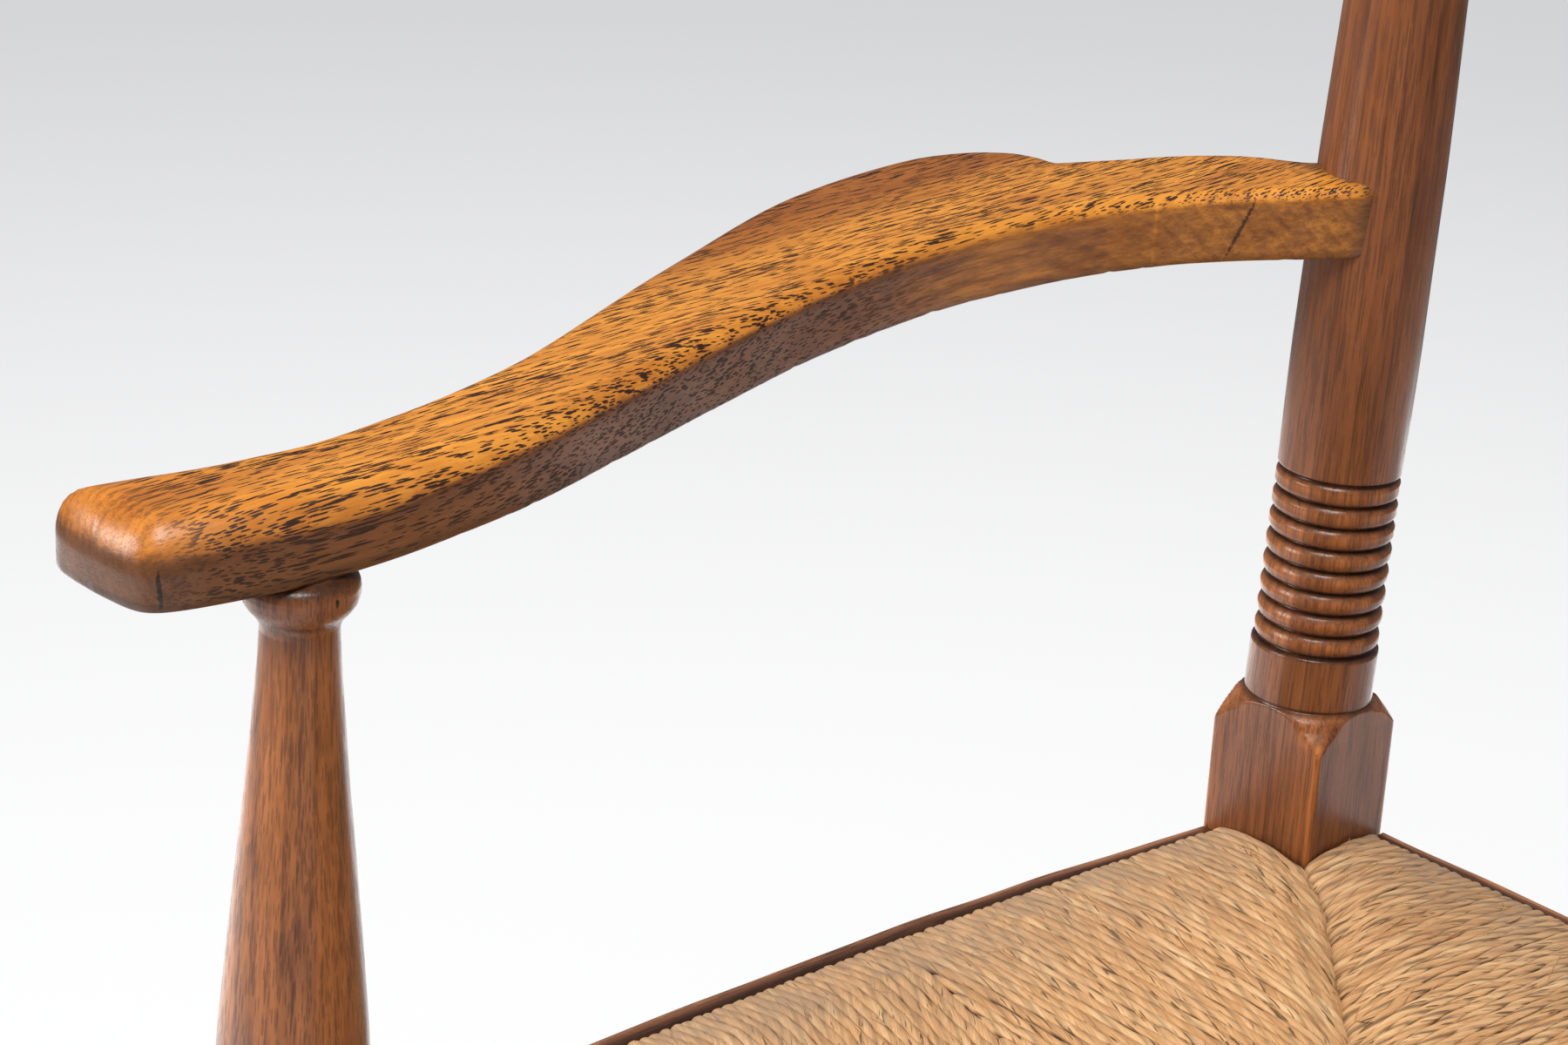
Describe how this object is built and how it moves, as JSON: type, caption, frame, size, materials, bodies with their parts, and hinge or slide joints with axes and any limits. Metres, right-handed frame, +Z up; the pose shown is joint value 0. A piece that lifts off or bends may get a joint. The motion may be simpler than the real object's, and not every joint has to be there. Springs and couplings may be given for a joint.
{
  "type": "rush seat armchair",
  "caption": "High ladder-back armchair with turned posts, curved open arms and a woven rush seat edged with thin wood strips.",
  "frame": {"origin": "middle of the chair's box at floor level", "axes": "+Z up, the chair faces -Y, the sitter's left hand is at +X"},
  "size_m": [0.6128, 0.5014, 1.086],
  "materials": {
    "oak": "dark brown waxed oak, satin",
    "golden_oak": "golden worn oak, hand polished",
    "strip_oak": "dark stained oak, satin",
    "rush": "twisted dry rush strands",
    "packing": "loose rush stuffing",
    "nail": "dark dull iron"
  },
  "bodies": {
    "root": {"arm_left": "golden_oak", "arm_peg_left": "oak", "arm_peg_right": "oak", "arm_right": "golden_oak", "back_edge_strip": "strip_oak", "back_post_left": "oak", "back_post_right": "oak", "back_seat_rail": "oak", "back_stretcher": "oak", "back_strip_nail_1": "nail", "back_strip_nail_2": "nail", "back_strip_nail_3": "nail", "front_edge_strip": "strip_oak", "front_post_left": "oak", "front_post_right": "oak", "front_seat_rail": "oak", "front_stretcher_lower": "oak", "front_stretcher_upper": "oak", "front_strip_nail_1": "nail", "front_strip_nail_2": "nail", "front_strip_nail_3": "nail", "front_strip_nail_4": "nail", "left_edge_strip": "strip_oak", "left_seat_rail": "oak", "left_strip_nail_1": "nail", "left_strip_nail_2": "nail", "left_strip_nail_3": "nail", "lower_slat": "oak", "lower_slat_peg_left": "oak", "lower_slat_peg_right": "oak", "middle_slat": "oak", "middle_slat_peg_left": "oak", "middle_slat_peg_right": "oak", "right_edge_strip": "strip_oak", "right_seat_rail": "oak", "right_strip_nail_1": "nail", "right_strip_nail_2": "nail", "right_strip_nail_3": "nail", "rush_packing_back": "packing", "rush_packing_front": "packing", "rush_packing_left": "packing", "rush_packing_right": "packing", "side_stretcher_lower_left": "oak", "side_stretcher_lower_right": "oak", "side_stretcher_upper_left": "oak", "side_stretcher_upper_right": "oak", "upper_slat": "oak", "upper_slat_peg_left": "oak", "upper_slat_peg_right": "oak", "woven_rush": "rush"}
  },
  "joints": []
}
